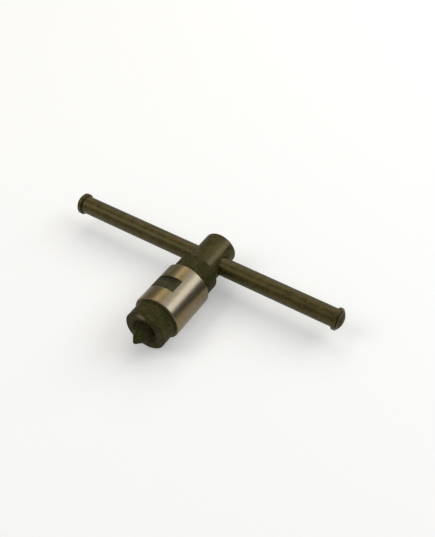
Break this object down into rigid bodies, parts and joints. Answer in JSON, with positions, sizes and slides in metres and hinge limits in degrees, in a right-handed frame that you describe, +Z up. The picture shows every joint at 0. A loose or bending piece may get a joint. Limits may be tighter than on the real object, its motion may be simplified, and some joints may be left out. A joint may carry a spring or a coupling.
{
  "type": "tap wrench",
  "caption": "T-handle tap wrench: a round bar slides through a black crosshead behind a small chuck whose bright sleeve closes pointed jaws.",
  "frame": {"origin": "middle of the nose's front face, on the tool's axis, where the tap leaves the jaws", "axes": "-Y along the tool's axis out of the nose, +X along the sliding bar, +Z up as the tool lies on a bench"},
  "size_m": [0.137, 0.0646, 0.0216],
  "materials": {
    "black_steel": "oil-blackened, satin",
    "bright_steel": "turned and polished, plated",
    "spring_steel": "ground",
    "jaw_steel": "hardened and blackened",
    "ring_steel": "blackened spring steel"
  },
  "bodies": {
    "chuck": {"tee_head": "black_steel", "chuck_body": "black_steel", "shank_pin": "spring_steel", "friction_ball": "spring_steel", "friction_spring": "spring_steel"},
    "bar": {"slide_bar": "black_steel", "stop_ring_left": "ring_steel", "stop_ring_right": "ring_steel"},
    "sleeve": {"sleeve": "bright_steel", "nut_half_upper": "spring_steel", "nut_half_lower": "spring_steel"},
    "jaw_1": {"jaw_1": "jaw_steel"},
    "jaw_2": {"jaw_2": "jaw_steel"},
    "jaw_3": {"jaw_3": "jaw_steel"},
    "jaw_4": {"jaw_4": "jaw_steel"}
  },
  "joints": [
    {"name": "bar_slide", "type": "slide", "parent": "chuck", "child": "bar", "axis": [1, 0, 0], "range_m": [-0.05375, 0.06035]},
    {"name": "sleeve_turn", "type": "hinge", "parent": "chuck", "child": "sleeve", "pos_m": [0, 0.0195, 0], "axis": [0, -1, 0], "range_deg": [0, 2160]},
    {"name": "jaw_1_slide", "type": "slide", "parent": "chuck", "child": "jaw_1", "axis": [0.0896, 0.9816, 0.1685], "range_m": [0, 0.00751]},
    {"name": "jaw_2_slide", "type": "slide", "parent": "chuck", "child": "jaw_2", "axis": [-0.1685, 0.9816, 0.0896], "range_m": [0, 0.00751]},
    {"name": "jaw_3_slide", "type": "slide", "parent": "chuck", "child": "jaw_3", "axis": [-0.0896, 0.9816, -0.1685], "range_m": [0, 0.00751]},
    {"name": "jaw_4_slide", "type": "slide", "parent": "chuck", "child": "jaw_4", "axis": [0.1685, 0.9816, -0.0896], "range_m": [0, 0.00751]}
  ],
  "couplings": [
    {"joint": "jaw_1_slide", "follows": "sleeve_turn", "m_per_rad": 0.00019894},
    {"joint": "jaw_2_slide", "follows": "sleeve_turn", "m_per_rad": 0.00019894},
    {"joint": "jaw_3_slide", "follows": "sleeve_turn", "m_per_rad": 0.00019894},
    {"joint": "jaw_4_slide", "follows": "sleeve_turn", "m_per_rad": 0.00019894}
  ]
}
